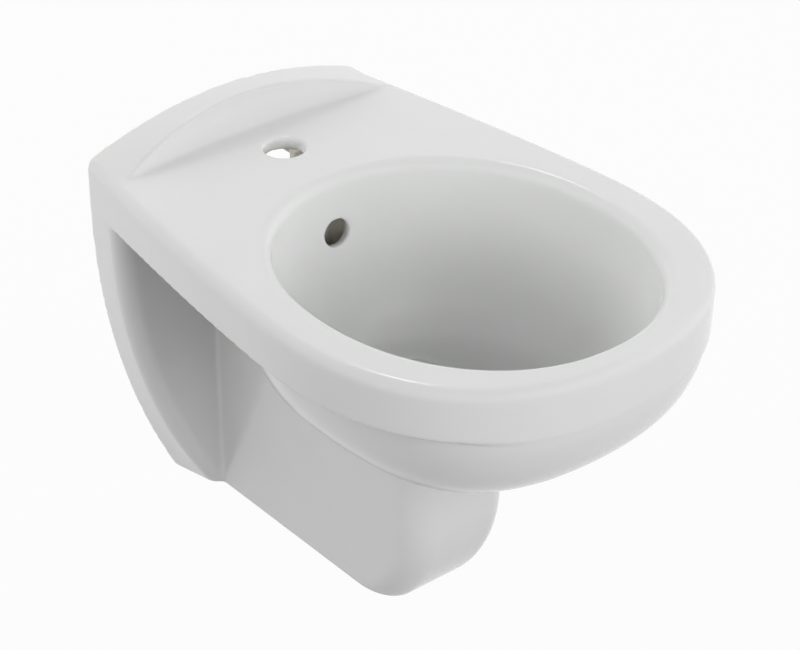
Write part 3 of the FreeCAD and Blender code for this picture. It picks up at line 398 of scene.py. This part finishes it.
@dataclass
class Pan:
    """The glazed body: one casting, its corners softened as glaze softens them. Sizes are in metres."""

    skin: float = 0.0017  # side of a face of the even skin
    pull: float = 0.5  # share of the way to its neighbours that a vertex moves in a pass
    even_passes: int = 4
    edge_passes: int = 5
    edge_rings: int = 1
    hollow_passes: int = 20
    hollow_rings: int = 3
    sharp: float = 0.0002  # distance from a vertex to its neighbours' middle that makes a corner
    triangles: int = 185000  # most that are left after thinning
    wall_face: float = 0.0015  # depth of the bare face at the wall
    foot: float = 0.0012  # height of the bare face under the foot
    hollow_half: float = 0.0428  # half the width inside the trap's cover and the tap's chamber
    hollow_front: float = 0.3148  # wall to the front inside the trap's cover
    hollow_top: float = 0.0645  # height of the ceiling under the deck
    chamber_front: float = 0.118  # wall to the front of the tap's chamber
    duct_half: float = 0.0165  # half the width of the overflow's duct
    duct_top: float = 0.037
    duct_front: float = 0.1505
    faces: float = 0.3  # part of a normal that makes a surface face the wall or the middle
    trap_top: float = -0.0945  # height of the ceiling over the trap
    toe_height: float = 0.1  # the cover's front is drawn back below this, above the foot
    toe_radius: float = 0.1412
    finish: GlazedChina = field(
        default_factory=lambda: GlazedChina("glazed_vitreous_china", "#DBDCDB", 0.14, ior=1.52))

    def build(self, node: bpy.types.Object) -> bpy.types.Object:
        """Make the softened body in place of the plain casting.

        Args:
            node: the casting.

        Returns:
            The softened body.
        """
        shape = bmesh.new()
        shape.from_mesh(self.even_skin(node))
        self.smooth(shape, list(shape.verts), self.even_passes)
        self.smooth(shape, self.grown(self.bent(shape, Corner.STANDING_OUT), self.edge_rings), self.edge_passes)
        self.smooth(shape, self.grown(self.bent(shape, Corner.HOLLOW), self.hollow_rings), self.hollow_passes)
        mesh = bpy.data.meshes.new("softened")
        shape.to_mesh(mesh)
        shape.free()
        body = self.thinned(mesh)
        body.data.shade_smooth()
        self.mark_bare_clay(body)
        body.data.materials.append(self.finish.material())
        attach(body, Body.PAN.value)
        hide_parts(node.name)
        log.info("%s: %d triangles, %s", body.name, self.count(body.data), self.finish.name)
        return body

    def even_skin(self, node: bpy.types.Object) -> bpy.types.Mesh:
        """Cover the casting with an even skin of small faces.

        Args:
            node: the casting.

        Returns:
            The skin's mesh.
        """
        shape = bmesh.new()
        shape.from_mesh(node.data)
        bmesh.ops.remove_doubles(shape, verts=shape.verts, dist=MERGE_DISTANCE)
        mesh = bpy.data.meshes.new("casting")
        shape.to_mesh(mesh)
        shape.free()
        return self.modified(mesh, "REMESH", mode="VOXEL", voxel_size=self.skin)

    def thinned(self, mesh: bpy.types.Mesh) -> bpy.types.Object:
        """Take triangles out of the flatter stretches.

        Args:
            mesh: the softened skin.

        Returns:
            The body's object.
        """
        share = min(self.triangles / self.count(mesh), 1.0)
        body = bpy.data.objects.new("glazed_body", self.modified(mesh, "DECIMATE", ratio=share))
        bpy.context.scene.collection.objects.link(body)
        return body

    def modified(self, mesh: bpy.types.Mesh, kind: str, **settings: Any) -> bpy.types.Mesh:
        """Run one modifier over a mesh.

        Args:
            mesh: the mesh, which is removed.
            kind: Blender's name for the modifier.
            **settings: the modifier's own properties.

        Returns:
            The modifier's result.
        """
        carrier = bpy.data.objects.new("carrier", mesh)
        bpy.context.scene.collection.objects.link(carrier)
        modifier = carrier.modifiers.new(kind.lower(), kind)
        for name, setting in settings.items():
            setattr(modifier, name, setting)
        result = bpy.data.meshes.new_from_object(carrier.evaluated_get(bpy.context.evaluated_depsgraph_get()))
        bpy.data.objects.remove(carrier)
        bpy.data.meshes.remove(mesh)
        return result

    def count(self, mesh: bpy.types.Mesh) -> int:
        """Count a mesh's triangles.

        Args:
            mesh: the mesh.

        Returns:
            How many there are.
        """
        return sum(len(face.vertices) - 2 for face in mesh.polygons)

    def bent(self, shape: bmesh.types.BMesh, corner: Corner) -> set[bmesh.types.BMVert]:
        """Find the vertices in sharp corners.

        Args:
            shape: the body.
            corner: the kind of corner.

        Returns:
            The vertices.
        """
        shape.normal_update()
        found = set()
        for vert in shape.verts:
            around = [edge.other_vert(vert).co for edge in vert.link_edges]
            lift = sum(around, Vector()) / len(around) - vert.co
            if corner.value * lift.dot(vert.normal) > self.sharp:
                found.add(vert)
        return found

    def grown(self, verts: set[bmesh.types.BMVert], rings: int) -> list[bmesh.types.BMVert]:
        """Take neighbours in.

        Args:
            verts: the vertices to start from.
            rings: how many rings of neighbours to add.

        Returns:
            The vertices and their neighbours.
        """
        found = set(verts)
        for _ in range(rings):
            found |= {edge.other_vert(vert) for vert in found for edge in vert.link_edges}
        return list(found)

    def smooth(self, shape: bmesh.types.BMesh, verts: list[bmesh.types.BMVert], passes: int) -> None:
        """Draw vertices towards their neighbours, a little at a time.

        Args:
            shape: the body.
            verts: the vertices to move.
            passes: how many times.
        """
        for _ in range(passes):
            bmesh.ops.smooth_vert(shape, verts=verts, factor=self.pull, use_axis_x=True, use_axis_y=True,
                                  use_axis_z=True)

    def mark_bare_clay(self, body: bpy.types.Object) -> None:
        """Mark where the clay has no glaze.

        Args:
            body: the softened body.
        """
        low = min(vert.co.z for vert in body.data.vertices)
        mark = body.data.attributes.new(BARE_CLAY, "FLOAT", "POINT")
        for vert, value in zip(body.data.vertices, mark.data):
            value.value = 1.0 if self.is_bare(vert.co, vert.normal, low) else 0.0

    def is_bare(self, place: Vector, facing: Vector, low: float) -> bool:
        """Tell whether a point of the body lies on bare clay.

        Args:
            place: the point.
            facing: the way that the surface faces there.
            low: height of the body's foot.

        Returns:
            True at the wall, under the foot and inside the hollows.
        """
        at_wall = place.y > -self.wall_face
        under_foot = place.z < low + self.foot
        inside = abs(place.x) < self.hollow_half and place.z < self.hollow_top
        below_knee = max(low + self.toe_height - place.z, 0.0)
        drawn_back = self.toe_radius - math.sqrt(self.toe_radius ** 2 - below_knee ** 2)
        by_trap = inside and place.y > drawn_back - self.hollow_front and place.z < self.trap_top
        behind = place.y > -self.chamber_front and place.z < self.hollow_top
        to_wall = behind and (facing.y > self.faces or place.x * facing.x < -self.faces * abs(place.x))
        by_tap = behind and inside
        in_duct = abs(place.x) < self.duct_half and place.y > -self.duct_front and place.z < self.duct_top
        return at_wall or under_foot or to_wall or by_trap or by_tap or in_duct


@dataclass
class WallFixings:
    """Two studs with their sleeves, washers, nuts and caps."""

    spacing_mm: float = 180.0
    stud_pitch_mm: float = 1.75
    stud_radius_mm: float = 5.7

    def dress(self, nodes: dict[str, bpy.types.Object]) -> None:
        """Give the fixings their finishes.

        Args:
            nodes: the part's pieces by name.
        """
        studs = Metal("zinc_plated_rolled_steel_thread", "#C4C6C8", 0.34, shade="#A9ABAE", patch_mm=4.0,
                      thread_axis=Axis.TO_WALL, thread_pitch_mm=self.stud_pitch_mm,
                      thread_radius_mm=self.stud_radius_mm, axis_x_mm=self.spacing_mm / 2)
        plain = Metal("zinc_plated_pressed_steel", "#C6C8CA", 0.32, shade="#AAACAF", patch_mm=4.0)
        plastic = Moulded("white_polypropylene_moulded", "#E2E2DF", 0.42, ior=1.49, shade="#D8D8D4")
        dress(nodes, ("wall_studs",), studs)
        dress(nodes, ("fixing_washers", "fixing_nuts"), plain)
        dress(nodes, ("fixing_sleeves", "fixing_caps"), plastic)


@dataclass
class Waste:
    """The chromed waste with its seals and nut, and the click plug in it."""

    axis_y_mm: float = -252.0
    tail_pitch_mm: float = 2.309
    tail_radius_mm: float = 20.4
    thread_top_z_mm: float = -96.0

    def dress(self, nodes: dict[str, bpy.types.Object]) -> None:
        """Give the waste and the plug their finishes.

        Args:
            nodes: the part's pieces by name.
        """
        tail = Metal("polished_chrome_plate_threaded", "#CFD1D3", 0.09, shade="#C2C5C9", patch_mm=18.0,
                     roughness_spread=0.05, thread_axis=Axis.UPRIGHT, thread_pitch_mm=self.tail_pitch_mm,
                     thread_radius_mm=self.tail_radius_mm, thread_below_z_mm=self.thread_top_z_mm,
                     axis_y_mm=self.axis_y_mm)
        cap = Metal("polished_chrome_plate", "#D2D4D6", 0.08, shade="#C6C9CC", patch_mm=18.0,
                    roughness_spread=0.05)
        brass = Metal("turned_brass", "#D8B56E", 0.3, shade="#C39C52", patch_mm=3.0)
        plated = Metal("nickel_plated_turned_brass", "#D0D1D1", 0.12, shade="#C4C6C7", patch_mm=4.0)
        wire = Metal("drawn_stainless_spring_wire", "#B4B6B8", 0.3, shade="#96989B", patch_mm=1.5)
        acetal = Moulded("grey_acetal_moulded", "#8A8C8E", 0.45, ior=1.48, shade="#7E8082")
        rubber = Moulded("black_nitrile_rubber_moulded", "#262628", 0.62, ior=1.52, shade="#313133", cloud_mm=5.0)
        slip = Moulded("white_polyethylene_moulded", "#DEDEDA", 0.5, ior=1.51, shade="#D2D2CD")
        dress(nodes, ("waste_body",), tail)
        dress(nodes, ("plug_cap",), cap)
        dress(nodes, ("waste_back_nut",), brass)
        dress(nodes, ("plug_stem",), plated)
        dress(nodes, ("plug_spring",), wire)
        dress(nodes, ("click_cartridge",), acetal)
        dress(nodes, ("waste_top_seal", "waste_under_seal", "plug_seal"), rubber)
        dress(nodes, ("waste_washer",), slip)


@dataclass
class Trap:
    """The bottle trap under the waste and its outlet pipe to the wall."""

    body_cloud_mm: float = 20.0
    pipe_cloud_mm: float = 30.0
    ring_cloud_mm: float = 5.0

    def dress(self, nodes: dict[str, bpy.types.Object]) -> None:
        """Give the trap its finishes.

        Args:
            nodes: the part's pieces by name.
        """
        plastic = Moulded("white_polypropylene_trap_moulded", "#DADAD6", 0.38, ior=1.49, shade="#CFCFCA",
                          cloud_mm=self.body_cloud_mm)
        pipe = Moulded("white_polypropylene_pipe_extruded", "#E0E0DC", 0.3, ior=1.49, shade="#D6D6D1",
                       cloud_mm=self.pipe_cloud_mm)
        rubber = Moulded("black_rubber_ring_moulded", "#262628", 0.62, ior=1.52, shade="#313133",
                         cloud_mm=self.ring_cloud_mm)
        dress(nodes, ("trap_inlet_nut", "trap_neck_nut", "trap_outlet_nut", "trap_body", "trap_cup"), plastic)
        dress(nodes, ("trap_dip_tube", "trap_outlet_pipe"), pipe)
        dress(nodes, ("trap_inlet_seal", "trap_neck_seal", "trap_cup_seal", "trap_outlet_seal"), rubber)


@dataclass(frozen=True)
class Softbox:
    """A square soft light that looks at the part.

    Azimuth 0 is in front of the part and 90 degrees is on its right.
    """

    name: str
    azimuth: float
    elevation: float
    power: float
    side: float = 1.6
    distance: float = 2.3
    mirrored: bool = False  # seen as a highlight in the glaze and the metal

    def build(self, target: Vector) -> None:
        """Place the light.

        Args:
            target: the point that it looks at.
        """
        way = direction(math.radians(self.azimuth), math.radians(self.elevation))
        data = bpy.data.lights.new(self.name, "AREA")
        data.shape = "SQUARE"
        data.size = self.side
        data.energy = self.power
        light = bpy.data.objects.new(self.name, data)
        light.visible_glossy = self.mirrored
        light.location = target + way * self.distance
        light.rotation_euler = way.to_track_quat("Z", "Y").to_euler()
        bpy.context.scene.collection.objects.link(light)


@dataclass
class Studio:
    """Pale floor, a light tent that glows low down on its walls, soft lights and the camera."""

    azimuth: float = math.radians(-39.6)
    elevation: float = math.radians(31.1)
    distance: float = 2.1028
    target: Vector = field(default_factory=lambda: Vector((0.0, -0.25, 0.015)))
    target_pixel: tuple[float, float] = (408.3, 285.9)
    focal_pixels: float = 2600.0
    floor_z: float = -0.345
    floor_side: float = 14.0
    floor_colour: str = "#969696"
    floor_white: float = 0.96  # share of plain white where the floor is seen, the rest keeps its shadow
    wall_light: float = 1.2
    wall_from: float = 0.15  # rise above the horizon, as a sine, at which the walls start to glow
    wall_full: float = 0.22
    wall_fade: float = 0.36
    wall_end: float = 0.45
    softboxes: tuple[Softbox, ...] = (
        Softbox("front softbox", 0.0, 22.0, 35.0),
        Softbox("right softbox", 98.0, 36.0, 29.0),
        Softbox("back softbox", 180.0, 19.0, 25.0),
        Softbox("left back softbox", -135.0, 30.0, 19.0),
        Softbox("left softbox", -90.0, 19.0, 11.0),
        Softbox("small lamp", 148.0, 52.0, 1.6, side=0.22, mirrored=True),
    )

    def build(self) -> None:
        """Set the scene up round the part."""
        bpy.context.scene.view_settings.view_transform = "Standard"
        self.camera()
        self.surroundings()
        self.floor()
        for softbox in self.softboxes:
            softbox.build(self.target)

    def camera(self) -> None:
        """Place the camera where the photograph was taken from."""
        back = direction(self.azimuth, self.elevation)
        data = bpy.data.cameras.new("camera")
        data.sensor_width = SENSOR_MM
        data.lens = SENSOR_MM * self.focal_pixels / IMAGE_WIDTH
        data.shift_x = (IMAGE_WIDTH / 2 - self.target_pixel[0]) / IMAGE_WIDTH
        data.shift_y = (self.target_pixel[1] - IMAGE_HEIGHT / 2) / IMAGE_WIDTH
        camera = bpy.data.objects.new("camera", data)
        camera.location = self.target + back * self.distance
        camera.rotation_euler = back.to_track_quat("Z", "Y").to_euler()
        bpy.context.scene.collection.objects.link(camera)
        bpy.context.scene.camera = camera

    def seen(self, tree: bpy.types.NodeTree) -> bpy.types.NodeSocket:
        """Tell rays that show the surroundings from rays that light the part.

        Args:
            tree: node tree of a material or of the world.

        Returns:
            A value of 1 where the surroundings are seen, directly, mirrored or through glass.
        """
        path = add_node(tree, "ShaderNodeLightPath").outputs
        mirrored = add_node(tree, "ShaderNodeMath", {0: path["Is Glossy Ray"], 1: path["Is Transmission Ray"]},
                            operation="MAXIMUM")
        return add_node(tree, "ShaderNodeMath", {0: path["Is Camera Ray"], 1: mirrored.outputs[0]},
                        operation="MAXIMUM").outputs[0]

    def surroundings(self) -> None:
        """Make a tent that shows white and lights the part from a band low on its walls."""
        world = bpy.data.worlds.new("studio")
        world.use_nodes = True
        tree = world.node_tree
        tree.nodes.clear()
        way = add_node(tree, "ShaderNodeTexCoord").outputs["Generated"]
        rise = add_node(tree, "ShaderNodeSeparateXYZ", {0: way}).outputs["Z"]
        grow = add_node(tree, "ShaderNodeMapRange", {"Value": rise, "From Min": self.wall_from,
                                                     "From Max": self.wall_full, "To Max": self.wall_light},
                        interpolation_type="SMOOTHSTEP")
        fade = add_node(tree, "ShaderNodeMapRange", {"Value": rise, "From Min": self.wall_fade,
                                                     "From Max": self.wall_end, "To Min": 1.0, "To Max": 0.0},
                        interpolation_type="SMOOTHSTEP")
        level = add_node(tree, "ShaderNodeMath", {0: grow.outputs["Result"], 1: fade.outputs["Result"]},
                         operation="MULTIPLY")
        light = add_node(tree, "ShaderNodeBackground", {"Color": linear(WHITE), "Strength": level.outputs[0]})
        white = add_node(tree, "ShaderNodeBackground", {"Color": linear(WHITE), "Strength": 1.0})
        mix = add_node(tree, "ShaderNodeMixShader", {0: self.seen(tree), 1: light.outputs[0], 2: white.outputs[0]})
        add_node(tree, "ShaderNodeOutputWorld", {"Surface": mix.outputs[0]})
        bpy.context.scene.world = world

    def floor(self) -> None:
        """Lay the pale floor, which shows nearly white and keeps a faint shadow."""
        shape = bmesh.new()
        bmesh.ops.create_grid(shape, x_segments=1, y_segments=1, size=self.floor_side / 2,
                              matrix=Matrix.Translation((0, 0, self.floor_z)))
        mesh = bpy.data.meshes.new("floor")
        shape.to_mesh(mesh)
        shape.free()
        floor = bpy.data.objects.new("floor", mesh)
        bpy.context.scene.collection.objects.link(floor)
        material = bpy.data.materials.new("pale_floor_paint")
        material.use_nodes = True
        tree = material.node_tree
        tree.nodes.clear()
        paint = add_node(tree, "ShaderNodeBsdfDiffuse", {"Color": linear(self.floor_colour)})
        white = add_node(tree, "ShaderNodeEmission", {"Color": linear(WHITE), "Strength": 1.0})
        share = add_node(tree, "ShaderNodeMath", {0: self.seen(tree), 1: self.floor_white}, operation="MULTIPLY")
        mix = add_node(tree, "ShaderNodeMixShader", {0: share.outputs[0], 1: paint.outputs[0],
                                                     2: white.outputs[0]})
        add_node(tree, "ShaderNodeOutputMaterial", {"Surface": mix.outputs[0]})
        mesh.materials.append(material)


def main() -> None:
    """Load the part, dress each sub-assembly and set up the studio."""
    logging.basicConfig(level=logging.INFO, format="%(message)s")
    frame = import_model()
    nodes = frame["nodes"]
    Pan().build(nodes["ceramic_body"])
    WallFixings().dress(nodes)
    Waste().dress(nodes)
    Trap().dress(nodes)
    Studio().build()


if __name__ == "__main__":
    main()
